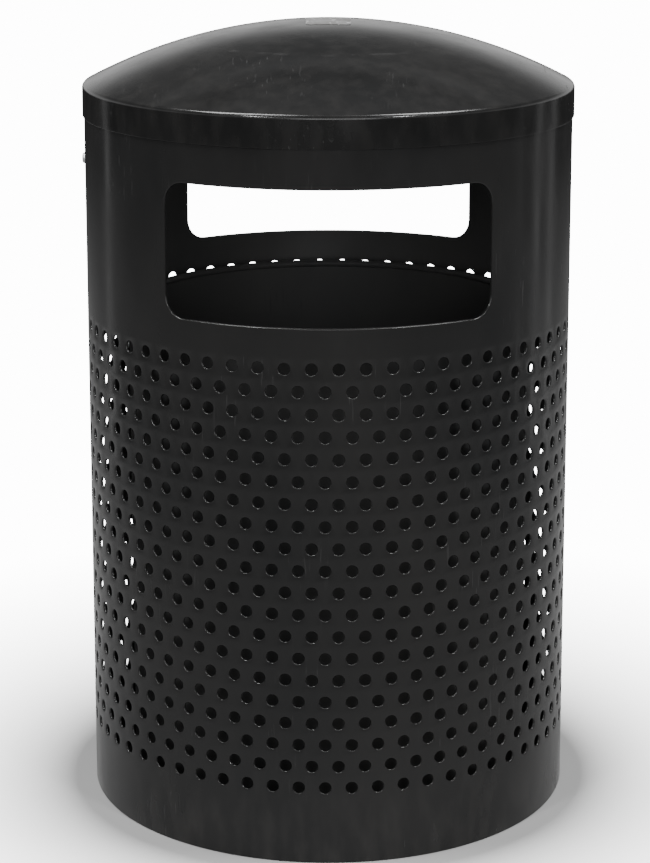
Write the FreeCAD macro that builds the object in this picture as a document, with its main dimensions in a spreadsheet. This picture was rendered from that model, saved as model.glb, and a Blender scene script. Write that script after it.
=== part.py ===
"""Round litter bin in perforated sheet steel, with a domed lift-off lid and a loose liner.

The origin is on the ground at the centre of the casing. +Z is up, and -Y is the front.
Every size is in millimetres and is a cell of the Sizes sheet.
"""
import FreeCAD, Part
import Sketcher
import math
import os

from FreeCAD import Placement, Rotation, Vector

SIZES = {
    # casing: a rolled tube with two deposit openings and a staggered perforation
    "casing_diameter": 460,
    "casing_wall": 2,
    "casing_height": 676,
    "aperture_width": 290,
    "aperture_height": 122,
    "aperture_bottom": 498.5,
    "aperture_corner": 18,
    "hole_diameter": 11,
    "holes_per_row": 60,
    "hole_rows": 20,
    "row_pitch": 20.5,
    "top_row_height": 462,
    "first_hole_angle": 2.3,
    # the tube is two half shells, welded a quarter of a pitch past this hole of the top row
    "seam_column": 14,
    # base plate, pressed as a shallow dish and welded inside the casing's foot
    "base_height": 14,
    "base_wall": 2,
    "base_bend": 3,
    "weld_gap": 0.05,
    "anchor_circle": 300,
    "anchor_count": 4,
    "anchor_hole_diameter": 12,
    "drain_circle": 180,
    "drain_count": 4,
    "drain_diameter": 10,
    # folded tabs on the base plate that keep the liner central
    "locator_count": 3,
    "locator_width": 30,
    "locator_foot": 22,
    "locator_height": 25,
    "locator_wall": 2,
    "locator_gap": 1.5,
    # lid: a spun dome with a skirt outside the casing, and a seat ring inside it
    "lid_wall": 1.2,
    "lid_gap": 0.3,
    "lid_overlap": 19.6,
    "lid_skirt": 28.7,
    "lid_bend": 5,
    "dome_rise": 58,
    "seat_wall": 2,
    "seat_spigot": 24,
    "seat_upstand": 7,
    "seat_gap": 0.5,
    "leg_wall": 2,
    "leg_angle": 6.2,
    "leg_drop": 78,
    "leg_top_inset": 4,
    "label_width": 42,
    "label_depth": 64,
    "label_corner": 6,
    "label_film": 0.3,
    # M6 button-head screw that clamps the slotted leg
    "screw_diameter": 6,
    "screw_length": 16,
    "screw_head_diameter": 10.5,
    "screw_head_height": 3.3,
    "screw_head_round": 2.4,
    "screw_socket": 4,
    "screw_socket_depth": 1.9,
    "screw_drop": 64,
    "screw_clearance": 0.3,
    "slot_clearance": 0.5,
    "washer_diameter": 12,
    "washer_wall": 1.6,
    "washer_gap": 0.2,
    "nut_width": 10,
    "nut_height": 5,
    # liner: a loose drum with a wired rim
    "liner_diameter": 382,
    "liner_wall_thickness": 1,
    "liner_top": 474,
    "liner_floor_lift": 10,
    "rim_section": 7,
    "rim_sheet": 1,
    "rim_offset": 1,
    "rim_wire_diameter": 4,
    "rim_mouth": 2,
    # wire drop handles inside the liner, their clips and rivets
    "handle_wire": 6,
    "handle_width": 70,
    "handle_drop": 55,
    "handle_bend": 9,
    "handle_end_gap": 2,
    "pivot_inset": 10,
    "pivot_drop": 24,
    "pivot_clearance": 0.1,
    "clip_width": 40,
    "clip_wall": 1.4,
    "clip_back": 3.5,
    "clip_height": 26,
    "rivet_diameter": 4,
    "rivet_head_diameter": 8,
    "rivet_head_height": 1.5,
    "rivet_spacing": 24,
    "rivet_drop": 16,
    "rivet_clearance": 0.1,
}

doc = FreeCAD.newDocument("LitterBin")
sheet = doc.addObject("Spreadsheet::Sheet", "Sizes")
for line, (alias, number) in enumerate(SIZES.items(), start=1):
    sheet.set(f"A{line}", alias)
    sheet.set(f"B{line}", str(number))
    sheet.setAlias(f"B{line}", alias)
doc.recompute()

# Lengths that several pieces share, as expressions of the sheet
CASING_R = "Sizes.casing_diameter / 2"
CASING_INNER_R = "(Sizes.casing_diameter / 2 - Sizes.casing_wall)"
LID_INNER_R = "(Sizes.casing_diameter / 2 + Sizes.lid_gap)"
LID_R = "(Sizes.casing_diameter / 2 + Sizes.lid_gap + Sizes.lid_wall)"
SKIRT_BOTTOM = "(Sizes.casing_height - Sizes.lid_overlap)"
SHOULDER = "(Sizes.casing_height - Sizes.lid_overlap + Sizes.lid_skirt)"
SPIGOT_R = "(Sizes.casing_diameter / 2 - Sizes.casing_wall - Sizes.seat_gap)"
SPIGOT_INNER_R = f"({SPIGOT_R} - Sizes.seat_wall)"
LEG_R = f"({SPIGOT_INNER_R} - Sizes.weld_gap)"
LEG_BOTTOM = "(Sizes.casing_height - Sizes.leg_drop)"
SCREW_HEIGHT = "(Sizes.casing_height - Sizes.screw_drop)"
LINER_R = "Sizes.liner_diameter / 2"
LINER_INNER_R = "(Sizes.liner_diameter / 2 - Sizes.liner_wall_thickness)"
LINER_BOTTOM = "Sizes.base_height"
LINER_FLOOR = "(Sizes.base_height + Sizes.liner_floor_lift)"
RIM_R = "(Sizes.liner_diameter / 2 - Sizes.liner_wall_thickness / 2 + Sizes.rim_offset)"
RIM_HEIGHT = "(Sizes.liner_top - Sizes.rim_section / 2)"
LINER_WALL_TOP = "(Sizes.liner_top - Sizes.rim_section)"
PIVOT_X = "(Sizes.liner_diameter / 2 - Sizes.liner_wall_thickness - Sizes.pivot_inset)"
PIVOT_HEIGHT = "(Sizes.liner_top - Sizes.pivot_drop)"
BORE_R = "(Sizes.handle_wire / 2 + Sizes.pivot_clearance)"

CIRCLE = 360.0
HALF_TURN = 180.0
QUARTER_PITCH, HALF_PITCH = 0.25, 0.5
# Angle of the lid screw, in degrees from the front towards +X
SCREW_TURN = 270.0
# Angle of the first liner locator, in degrees from +X
FIRST_LOCATOR = 30.0
# A cutter's reach, as a multiple of what it goes through
OVERRUN = 1.2
HOLE_OVERRUN = 6
# How near an edge has to be to the place where it is looked for, in millimetres
NEAR = 0.01
X_AXIS, Y_AXIS, Z_AXIS = Vector(1, 0, 0), Vector(0, 1, 0), Vector(0, 0, 1)


def size(alias):
    """The sheet's value for an alias, as a plain number."""
    return float(sheet.get(alias))


def bind(thing, **expressions):
    """Binds properties to expressions of the sheet. A double underscore stands for a dot."""
    for name, expression in expressions.items():
        thing.setExpression(name.replace("__", "."), str(expression))
    return thing


def new_body(label):
    """An empty PartDesign body."""
    body = doc.addObject("PartDesign::Body", label)
    body.Label = label
    return body


def sketch_on(body, plane, name):
    """A sketch attached to one of the body's own origin planes."""
    sketch = body.newObject("Sketcher::SketchObject", name)
    role = next(f for f in body.Origin.OriginFeatures if f.Role == plane)
    sketch.AttachmentSupport = [(role, "")]
    sketch.MapMode = "FlatFace"
    return sketch


def outline(sketch, corners):
    """A closed outline of straight edges. Each corner is a pair of expressions, across and up."""
    start = sketch.GeometryCount
    count = len(corners)
    spread = size("casing_diameter")
    turn = 2 * math.pi / count
    spots = []
    for k in range(count):
        spots.append(Vector(spread * math.cos(turn * k), spread * math.sin(turn * k), 0))
    for k in range(count):
        sketch.addGeometry(Part.LineSegment(spots[k], spots[(k + 1) % count]), False)
    for k in range(count):
        following = start + (k + 1) % count
        sketch.addConstraint(Sketcher.Constraint("Coincident", start + k, 2, following, 1))
    for k, (across, up) in enumerate(corners):
        place_point(sketch, start + k, 1, across, up)
    return start


def place_point(sketch, curve, end, across, up):
    """Ties one point of a curve to the sketch's origin by two expressions."""
    here = sketch.getPoint(curve, end)
    ties = [("DistanceX", here.x, across), ("DistanceY", here.y, up)]
    for kind, now, expression in ties:
        number = sketch.addConstraint(Sketcher.Constraint(kind, -1, 1, curve, end, now))
        sketch.setExpression(f"Constraints[{number}]", str(expression))


def circle(sketch, across, up, diameter):
    """A circle whose centre and diameter are expressions."""
    curve = sketch.addGeometry(Part.Circle(Vector(1, 1, 0), Z_AXIS, 1.0), False)
    place_point(sketch, curve, 3, across, up)
    number = sketch.addConstraint(Sketcher.Constraint("Diameter", curve, 2.0))
    sketch.setExpression(f"Constraints[{number}]", str(diameter))


def revolve(body, sketch, angle=CIRCLE):
    """Turns a sketch about its own vertical axis, half of the angle to each side."""
    turned = body.newObject("PartDesign::Revolution", sketch.Name + "_turned")
    turned.Profile = sketch
    turned.ReferenceAxis = (sketch, ["V_Axis"])
    turned.Midplane = True
    if isinstance(angle, str):
        turned.setExpression("Angle", angle)
    else:
        turned.Angle = angle
    sketch.Visibility = False
    body.Tip = turned
    return turned


def turned_body(label, corners, angle=CIRCLE):
    """A body made by turning one straight-edged outline about Z."""
    body = new_body(label)
    sketch = sketch_on(body, "XZ_Plane", label + "_outline")
    outline(sketch, corners)
    revolve(body, sketch, angle)
    return body


def pad(body, sketch, length, symmetric=False):
    """A pad of a sketch, by an expression for its length."""
    feature = body.newObject("PartDesign::Pad", sketch.Name + "_pad")
    feature.Profile = sketch
    feature.Midplane = symmetric
    feature.setExpression("Length", str(length))
    body.Tip = feature
    return feature


def cut_through(body, sketch):
    """A pocket through everything, to both sides of its sketch."""
    feature = body.newObject("PartDesign::Pocket", sketch.Name + "_cut")
    feature.Profile = sketch
    feature.Type = "ThroughAll"
    feature.Midplane = True
    body.Tip = feature
    return feature


def repeat_round(body, feature, count):
    """A polar pattern of one feature about the body's Z axis."""
    pattern = body.newObject("PartDesign::PolarPattern", feature.Name + "_ring")
    pattern.Originals = [feature]
    pattern.Axis = (feature.Profile[0], ["N_Axis"])
    pattern.Angle = CIRCLE
    pattern.setExpression("Occurrences", count)
    body.Tip = pattern
    return pattern


def edges_where(feature, test):
    """Names of a feature's edges that pass a test."""
    doc.recompute()
    return [f"Edge{n}" for n, edge in enumerate(feature.Shape.Edges, start=1) if test(edge)]


def round_edges(body, feature, radius, test):
    """A fillet on the feature's edges that pass a test."""
    fillet = body.newObject("PartDesign::Fillet", feature.Name + "_round")
    fillet.Base = (feature, edges_where(feature, test))
    fillet.setExpression("Radius", str(radius))
    body.Tip = fillet
    return fillet


def ring_at(height, radius):
    """A test for a full circular edge about Z at a height and radius."""

    def test(edge):
        box = edge.BoundBox
        flat = box.ZLength < NEAR and abs(box.ZMin - height) < NEAR
        return flat and abs(box.XMax - radius) < NEAR

    return test


def primitive(kind, name, **expressions):
    """A Part primitive with its properties bound to the sheet."""
    return bind(doc.addObject("Part::" + kind, name), **expressions)


def combine(kind, label, base, tool):
    """A Part boolean of two objects, with its seams merged."""
    result = doc.addObject("Part::" + kind, label)
    result.Label = label
    result.Base = base
    result.Tool = tool
    result.Refine = True
    return result


def fuse_all(label, shapes):
    """One solid fused from several objects."""
    result = doc.addObject("Part::MultiFuse", label)
    result.Label = label
    result.Shapes = shapes
    result.Refine = True
    return result


def group_of(label, members):
    """One node that holds several separate solids."""
    result = doc.addObject("Part::Compound", label)
    result.Label = label
    result.Links = members
    return result


def lay_along_x(thing):
    """Turns an object that was made along Z so that it points along +X."""
    thing.Placement = Placement(thing.Placement.Base, Rotation(Y_AXIS, 90))
    return thing


def lay_along_y(thing):
    """Turns an object that was made along Z so that it points along +Y."""
    thing.Placement = Placement(thing.Placement.Base, Rotation(X_AXIS, -90))
    return thing


def side_turn(side):
    """The placement that carries a right-hand piece to its own side."""
    return Placement(Vector(), Rotation(Z_AXIS, 0 if side == "right" else HALF_TURN))


def seam_turn():
    """Angle of the first weld line. It passes midway between two staggered columns of holes."""
    step = CIRCLE / size("holes_per_row")
    return size("first_hole_angle") + (size("seam_column") + QUARTER_PITCH) * step


def in_half(side, turn):
    """Whether an angle from the front lies in the front or the rear half shell."""
    in_front = (seam_turn() - turn) % CIRCLE < HALF_TURN
    return in_front == (side == "front")


def radial_cutter(turn, height, radius):
    """A round cutter that points outward through the casing."""
    depth = HOLE_OVERRUN * size("casing_wall")
    angle = math.radians(turn)
    out = Vector(math.sin(angle), -math.cos(angle), 0)
    start = out * (size("casing_diameter") / 2 - depth / 2) + Vector(0, 0, height)
    return Part.makeCylinder(radius, depth, start, out)


def hole_cutters(side):
    """Cutters for one half's perforation, and for the lid screw's clearance hole if it is there."""
    step = CIRCLE / size("holes_per_row")
    cutters = []
    for row in range(int(size("hole_rows"))):
        height = size("top_row_height") - row * size("row_pitch")
        for k in range(int(size("holes_per_row"))):
            turn = size("first_hole_angle") + (k + HALF_PITCH * (row % 2)) * step
            if in_half(side, turn):
                cutters.append(radial_cutter(turn, height, size("hole_diameter") / 2))
    if in_half(side, SCREW_TURN):
        screw_radius = size("screw_diameter") / 2 + size("screw_clearance")
        screw_height = size("casing_height") - size("screw_drop")
        cutters.append(radial_cutter(SCREW_TURN, screw_height, screw_radius))
    feature = doc.addObject("Part::Feature", "hole_cutters_" + side)
    feature.Shape = Part.makeCompound(cutters)
    return feature


def casing_tube():
    """Rolled tube with a front and a rear opening, not yet perforated."""
    body = new_body("casing_blank")
    ring = sketch_on(body, "XY_Plane", "casing_ring")
    circle(ring, 0, 0, "Sizes.casing_diameter")
    circle(ring, 0, 0, "Sizes.casing_diameter - 2 * Sizes.casing_wall")
    pad(body, ring, "Sizes.casing_height")

    window = new_body("aperture_block")
    frame = sketch_on(window, "XZ_Plane", "aperture_outline")
    half, low = "Sizes.aperture_width / 2", "Sizes.aperture_bottom"
    high = "(Sizes.aperture_bottom + Sizes.aperture_height)"
    outline(frame, [(f"-{half}", low), (half, low), (half, high), (f"-{half}", high)])
    block = pad(window, frame, f"Sizes.casing_diameter * {OVERRUN}", symmetric=True)
    span = size("casing_diameter")
    round_edges(window, block, "Sizes.aperture_corner", lambda edge: edge.BoundBox.YLength > span)
    return combine("Cut", "casing_tube", body, window)


def casing_half(side, tube):
    """The front or the rear half shell, perforated below its opening."""
    reach = "Sizes.casing_diameter"
    block = primitive(
        "Box", "half_block_" + side, Length=f"2 * {reach}", Width=reach,
        Height="Sizes.casing_height", Placement__Base__x=f"-{reach}", Placement__Base__y=f"-{reach}",
    )
    half = group_of("half_space_" + side, [block])
    turn = seam_turn() - HALF_TURN / 2
    if side == "rear":
        turn += HALF_TURN
    half.Placement = Placement(Vector(), Rotation(Z_AXIS, turn))
    blank = combine("Common", "half_blank_" + side, tube, half)
    return combine("Cut", "casing_" + side, blank, hole_cutters(side))


def base_plate():
    """Shallow dish, open below, with drain holes and holes for ground anchors."""
    rim = f"({CASING_INNER_R} - Sizes.weld_gap)"
    inner = f"({CASING_INNER_R} - Sizes.weld_gap - Sizes.base_wall)"
    deck, under = "Sizes.base_height", "(Sizes.base_height - Sizes.base_wall)"
    corners = [(0, under), (inner, under), (inner, 0), (rim, 0), (rim, deck), (0, deck)]
    body = turned_body("base_plate", corners)
    outer = size("casing_diameter") / 2 - size("casing_wall") - size("weld_gap")
    round_edges(body, body.Tip, "Sizes.base_bend", ring_at(size("base_height"), outer))
    for name in ("anchor", "drain"):
        hole = sketch_on(body, "XY_Plane", name + "_hole")
        diameter = "Sizes.anchor_hole_diameter" if name == "anchor" else "Sizes.drain_diameter"
        angle = HALF_TURN / size(name + "_count") if name == "anchor" else 0
        across = f"Sizes.{name}_circle / 2 * cos({angle} deg)"
        up = f"Sizes.{name}_circle / 2 * sin({angle} deg)"
        circle(hole, across, up, diameter)
        repeat_round(body, cut_through(body, hole), f"Sizes.{name}_count")
    return body


def liner_locators():
    """Folded tabs that stand on the base plate just outside the liner."""
    tabs = []
    near = f"({LINER_R} + Sizes.locator_gap)"
    for k in range(int(size("locator_count"))):
        foot = primitive(
            "Box", f"locator_foot_{k}", Length="Sizes.locator_foot", Width="Sizes.locator_width",
            Height="Sizes.locator_wall", Placement__Base__x=near,
            Placement__Base__y="-Sizes.locator_width / 2", Placement__Base__z="Sizes.base_height",
        )
        tab = primitive(
            "Box", f"locator_tab_{k}", Length="Sizes.locator_wall", Width="Sizes.locator_width",
            Height="Sizes.locator_height", Placement__Base__x=near,
            Placement__Base__y="-Sizes.locator_width / 2", Placement__Base__z="Sizes.base_height",
        )
        bracket = combine("Fuse", f"locator_{k}", foot, tab)
        angle = FIRST_LOCATOR + CIRCLE / size("locator_count") * k
        bracket.Placement = Placement(Vector(), Rotation(Z_AXIS, angle))
        tabs.append(bracket)
    return group_of("liner_locators", tabs)


def lid_dome():
    """Spun shallow dome with a straight skirt. Both faces of the dome are arcs about one centre."""
    body = new_body("lid_dome")
    sketch = sketch_on(body, "XZ_Plane", "lid_outline")
    outer = size("casing_diameter") / 2 + size("lid_gap") + size("lid_wall")
    inner = outer - size("lid_wall")
    rise = size("dome_rise")
    radius = (outer**2 + rise**2) / (2 * rise)
    bottom = size("casing_height") - size("lid_overlap")
    shoulder = bottom + size("lid_skirt")
    centre = Vector(0, shoulder + rise - radius, 0)
    angle = math.acos(outer / radius)
    inner_radius = radius - size("lid_wall")
    inner_angle = math.acos(inner / inner_radius)

    def spot(reach, turn):
        return centre + Vector(reach * math.cos(turn), reach * math.sin(turn), 0)

    top, low = math.pi / 2, Vector(0, bottom, 0)
    geometry = [
        Part.ArcOfCircle(Part.Circle(centre, Z_AXIS, radius), angle, top),
        Part.LineSegment(spot(radius, angle), low + Vector(outer, 0, 0)),
        Part.LineSegment(low + Vector(outer, 0, 0), low + Vector(inner, 0, 0)),
        Part.LineSegment(low + Vector(inner, 0, 0), spot(inner_radius, inner_angle)),
        Part.ArcOfCircle(Part.Circle(centre, Z_AXIS, inner_radius), inner_angle, top),
        Part.LineSegment(spot(inner_radius, top), spot(radius, top)),
    ]
    for piece in geometry:
        sketch.addGeometry(piece, False)
    ends = [(0, 1, 1, 1), (1, 2, 2, 1), (2, 2, 3, 1), (3, 2, 4, 1), (4, 2, 5, 1), (5, 2, 0, 2)]
    centres = (4, 3, 0, 3)
    joins = [*ends, centres]
    for join in joins:
        sketch.addConstraint(Sketcher.Constraint("Coincident", *join))
    sketch.addConstraint(Sketcher.Constraint("PointOnObject", 0, 3, -2))
    place_point(sketch, 1, 1, LID_R, SHOULDER)
    place_point(sketch, 1, 2, LID_R, SKIRT_BOTTOM)
    place_point(sketch, 2, 2, LID_INNER_R, SKIRT_BOTTOM)
    place_point(sketch, 5, 2, 0, f"({SHOULDER} + Sizes.dome_rise)")
    place_point(sketch, 5, 1, 0, f"({SHOULDER} + Sizes.dome_rise - Sizes.lid_wall)")
    sketch.addConstraint(Sketcher.Constraint("Vertical", 3))
    turned = revolve(body, sketch)
    rounded = round_edges(body, turned, "Sizes.lid_bend", ring_at(shoulder, outer))
    inside = spot(inner_radius, inner_angle)
    round_edges(body, rounded, "Sizes.lid_bend - Sizes.lid_wall", ring_at(inside.y, inside.x))
    return body


def lid_seat_ring():
    """Rolled stepped ring: a spigot inside the casing, a seat on its edge and an upstand in the lid."""
    seat, over = "Sizes.casing_height", "(Sizes.casing_height + Sizes.seat_wall)"
    outer = f"({LID_INNER_R} - Sizes.weld_gap)"
    shelf = f"({LID_INNER_R} - Sizes.weld_gap - Sizes.seat_wall)"
    low = "(Sizes.casing_height - Sizes.seat_spigot)"
    top = "(Sizes.casing_height + Sizes.seat_upstand)"
    corners = [
        (SPIGOT_INNER_R, low), (SPIGOT_R, low), (SPIGOT_R, seat), (outer, seat),
        (outer, top), (shelf, top), (shelf, over), (SPIGOT_INNER_R, over),
    ]
    return turned_body("lid_seat_ring", corners)


def lid_leg(side):
    """Strap inside the casing. The left one has a slot, open below, for the clamp screw."""
    inner = f"({LEG_R} - Sizes.leg_wall)"
    top = "(Sizes.casing_height - Sizes.leg_top_inset)"
    corners = [(inner, LEG_BOTTOM), (LEG_R, LEG_BOTTOM), (LEG_R, top), (inner, top)]
    body = turned_body("lid_leg_" + side, corners, "Sizes.leg_angle")
    if side == "left":
        half = "(Sizes.screw_diameter / 2 + Sizes.slot_clearance)"
        below = f"({LEG_BOTTOM} - Sizes.leg_wall)"
        slot = sketch_on(body, "YZ_Plane", "leg_slot")
        left = f"-{half}"
        outline(slot, [(left, below), (half, below), (half, SCREW_HEIGHT), (left, SCREW_HEIGHT)])
        cut_through(body, slot)
        end = sketch_on(body, "YZ_Plane", "leg_slot_end")
        circle(end, 0, SCREW_HEIGHT, f"2 * {half}")
        cut_through(body, end)
    body.Placement = side_turn(side)
    return body


def dome_label():
    """Blank rounded label laid on the top of the dome."""
    curve = f"({LID_R} * {LID_R} + Sizes.dome_rise * Sizes.dome_rise) / (2 * Sizes.dome_rise)"
    centre = f"{SHOULDER} + Sizes.dome_rise - ({curve})"
    face = primitive("Sphere", "label_face", Radius=f"{curve} + Sizes.weld_gap + Sizes.label_film")
    back = primitive("Sphere", "label_back", Radius=f"{curve} + Sizes.weld_gap")
    for ball in (face, back):
        ball.setExpression("Placement.Base.z", centre)
    film = combine("Cut", "label_sheet", face, back)
    blank = new_body("label_blank")
    sketch = sketch_on(blank, "XY_Plane", "label_outline")
    half, deep = "Sizes.label_width / 2", "Sizes.label_depth / 2"
    left, near = f"-{half}", f"-{deep}"
    outline(sketch, [(left, near), (half, near), (half, deep), (left, deep)])
    block = pad(blank, sketch, f"Sizes.casing_height * {OVERRUN}")
    tall = size("casing_height")
    round_edges(blank, block, "Sizes.label_corner", lambda edge: edge.BoundBox.ZLength > tall)
    return combine("Common", "dome_label", film, blank)


def on_screw_axis(thing):
    """Moves a piece, made along Z from the casing's face, out to the left side of the casing."""
    thing.Placement = Placement(Vector(), Rotation(Y_AXIS, -90))
    thing.setExpression("Placement.Base.x", f"-{CASING_R}")
    thing.setExpression("Placement.Base.z", SCREW_HEIGHT)
    return thing


def lid_screw():
    """Button-head screw. Its head lies on the casing's outer face."""
    head, shank = "Sizes.screw_head_diameter / 2", "Sizes.screw_diameter / 2"
    high, end = "Sizes.screw_head_height", "-Sizes.screw_length"
    corners = [(0, end), (shank, end), (shank, 0), (head, 0), (head, high), (0, high)]
    body = turned_body("lid_screw", corners)
    top = ring_at(size("screw_head_height"), size("screw_head_diameter") / 2)
    round_edges(body, body.Tip, "Sizes.screw_head_round", top)
    socket = sketch_on(body, "XY_Plane", "screw_socket")
    hexagon(socket, "Sizes.screw_socket")
    bind(socket, AttachmentOffset__Base__z=high)
    feature = body.newObject("PartDesign::Pocket", "screw_socket_cut")
    feature.Profile = socket
    feature.setExpression("Length", "Sizes.screw_socket_depth")
    body.Tip = feature
    return on_screw_axis(body)


def hexagon(sketch, across_flats):
    """A hexagon about the sketch's origin, given across its flats."""
    reach = f"{across_flats} / 2 / cos(30 deg)"
    corners = []
    for angle in range(0, 360, 60):
        corners.append((f"{reach} * cos({angle} deg)", f"{reach} * sin({angle} deg)"))
    outline(sketch, corners)


def screw_ring(label, start, end, outer, inner):
    """A plain ring on the screw's axis. Its ends are depths from the casing's outer face."""
    low, high = f"-({end})", f"-({start})"
    corners = [(inner, low), (outer, low), (outer, high), (inner, high)]
    return on_screw_axis(turned_body(label, corners))


def lid_screw_stack():
    """Spacer between casing and leg, then the washer and nut behind the leg."""
    bore = "(Sizes.screw_diameter / 2 + Sizes.screw_clearance)"
    outer = "Sizes.washer_diameter / 2"
    leg_face = f"({CASING_R} - {LEG_R})"
    leg_back = f"({CASING_R} - {LEG_R} + Sizes.leg_wall)"
    casing_back = "Sizes.casing_wall + Sizes.washer_gap"
    spacer_end = f"{leg_face} - Sizes.washer_gap"
    spacer = screw_ring("lid_screw_spacer", casing_back, spacer_end, outer, bore)
    washer_start = f"{leg_back} + Sizes.washer_gap"
    washer_end = f"{washer_start} + Sizes.washer_wall"
    washer = screw_ring("lid_screw_washer", washer_start, washer_end, outer, bore)
    nut = new_body("lid_screw_nut")
    face = sketch_on(nut, "XY_Plane", "nut_outline")
    hexagon(face, "Sizes.nut_width")
    circle(face, 0, 0, "Sizes.screw_diameter + 2 * Sizes.weld_gap")
    bind(face, AttachmentOffset__Base__z=f"-({washer_end} + Sizes.nut_height)")
    pad(nut, face, "Sizes.nut_height")
    return [spacer, washer, on_screw_axis(nut)]


def liner_wall():
    """Liner drum, open above and below, with the clips' rivet holes."""
    corners = [
        (LINER_INNER_R, LINER_BOTTOM), (LINER_R, LINER_BOTTOM),
        (LINER_R, LINER_WALL_TOP), (LINER_INNER_R, LINER_WALL_TOP),
    ]
    body = turned_body("liner_wall", corners)
    holes = sketch_on(body, "YZ_Plane", "rivet_holes")
    for sign in ("-", ""):
        circle(
            holes, f"{sign}Sizes.rivet_spacing / 2", f"{PIVOT_HEIGHT} - Sizes.rivet_drop",
            "Sizes.rivet_diameter + 2 * Sizes.rivet_clearance",
        )
    cut_through(body, holes)
    return body


def liner_floor():
    """Liner bottom, lifted off the base plate on its own down-turned edge."""
    outer = f"({LINER_INNER_R} - Sizes.weld_gap)"
    inner = f"({LINER_INNER_R} - Sizes.weld_gap - Sizes.liner_wall_thickness)"
    under = f"({LINER_FLOOR} - Sizes.liner_wall_thickness)"
    corners = [
        (0, under), (inner, under), (inner, LINER_BOTTOM), (outer, LINER_BOTTOM),
        (outer, LINER_FLOOR), (0, LINER_FLOOR),
    ]
    return turned_body("liner_floor", corners)


def liner_rim():
    """Rolled edge: a hoop of sheet round its wire, open in a narrow mouth below."""
    inner = "Sizes.rim_section / 2 - Sizes.rim_sheet"
    outside = rim_ring("rim_outside", "Sizes.rim_section / 2")
    hollow = combine("Cut", "rim_hoop", outside, rim_ring("rim_inside", inner))
    near, far = f"({RIM_R} + Sizes.rim_mouth / 2)", f"({RIM_R} + Sizes.rim_mouth * 3 / 2)"
    low, high = f"({RIM_HEIGHT} - Sizes.rim_section)", RIM_HEIGHT
    mouth = turned_body("rim_mouth_cutter", [(near, low), (far, low), (far, high), (near, high)])
    rim = combine("Cut", "liner_rim", hollow, mouth)
    return [rim, rim_ring("liner_rim_wire", "Sizes.rim_wire_diameter / 2")]


def rim_ring(label, radius):
    """A torus on the liner rim's centre line."""
    return primitive(
        "Torus", label, Radius1=RIM_R, Radius2=radius, Placement__Base__z=RIM_HEIGHT
    )


def handle_clip(side):
    """Pressed clip: a back on the liner's wall, a web, and a barrel round the handle's ends."""
    width, through = "Sizes.clip_width", "Sizes.clip_width * 2"
    barrel = pivot_rod(f"clip_barrel_{side}", f"{BORE_R} + Sizes.clip_wall", width)
    bore = pivot_rod(f"clip_bore_{side}", BORE_R, through)
    web_low = f"{PIVOT_HEIGHT} - {BORE_R} - Sizes.clip_wall"
    web = primitive(
        "Box", f"clip_web_{side}", Length="Sizes.pivot_inset", Width="Sizes.clip_width",
        Height="Sizes.clip_wall", Placement__Base__x=PIVOT_X,
        Placement__Base__y="-Sizes.clip_width / 2", Placement__Base__z=web_low,
    )
    back = primitive(
        "Box", f"clip_back_{side}", Length="Sizes.clip_back", Width="Sizes.clip_width",
        Height="Sizes.clip_height", Placement__Base__x=f"{LINER_INNER_R} - Sizes.clip_back",
        Placement__Base__y="-Sizes.clip_width / 2",
        Placement__Base__z=f"{web_low} + Sizes.clip_wall - Sizes.clip_height",
    )
    solid = fuse_all(f"clip_solid_{side}", [barrel, web, back])
    drum = primitive(
        "Cylinder", f"clip_drum_{side}", Radius=f"{LINER_INNER_R} - Sizes.weld_gap",
        Height="Sizes.liner_top",
    )
    pressed = combine("Common", f"clip_pressed_{side}", solid, drum)
    hole = "Sizes.rivet_diameter / 2 + Sizes.rivet_clearance"
    cutters = [bore]
    for sign in ("-", ""):
        name = f"clip_hole_{side}_{len(cutters)}"
        cutters.append(rivet_rod(name, sign, PIVOT_X, "Sizes.pivot_inset * 2", hole))
    tools = group_of(f"clip_cutters_{side}", cutters)
    clip = combine("Cut", "handle_clip_" + side, pressed, tools)
    clip.Placement = side_turn(side)
    return clip


def pivot_rod(label, radius, width):
    """A cylinder on the right-hand handle's pivot axis, half of its width to each side."""
    rod = lay_along_y(primitive("Cylinder", label, Radius=radius, Height=width))
    return bind(
        rod, Placement__Base__x=PIVOT_X, Placement__Base__y=f"-{width} / 2",
        Placement__Base__z=PIVOT_HEIGHT,
    )


def rivet_rod(label, sign, start, length, radius):
    """A cylinder on one rivet's axis, on the right-hand side, that points outward."""
    rod = lay_along_x(primitive("Cylinder", label, Height=length, Radius=radius))
    return bind(
        rod, Placement__Base__x=start, Placement__Base__y=f"{sign}Sizes.rivet_spacing / 2",
        Placement__Base__z=f"{PIVOT_HEIGHT} - Sizes.rivet_drop",
    )


def handle_rivets(side):
    """Two rivets through the clip's back and the liner's wall."""
    rivets = []
    inside = f"({LINER_INNER_R} - Sizes.clip_back)"
    head, head_radius = "Sizes.rivet_head_height", "Sizes.rivet_head_diameter / 2"
    grip, shank_radius = "Sizes.clip_back + Sizes.liner_wall_thickness", "Sizes.rivet_diameter / 2"
    for sign in ("-", ""):
        name = f"rivet_{side}_{len(rivets)}"
        pieces = [
            rivet_rod(name + "_tail", sign, f"{inside} - {head}", head, head_radius),
            rivet_rod(name + "_shank", sign, inside, grip, shank_radius),
            rivet_rod(name + "_head", sign, LINER_R, head, head_radius),
        ]
        rivets.append(fuse_all(name, pieces))
    group = group_of("handle_rivets_" + side, rivets)
    group.Placement = side_turn(side)
    return group


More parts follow.
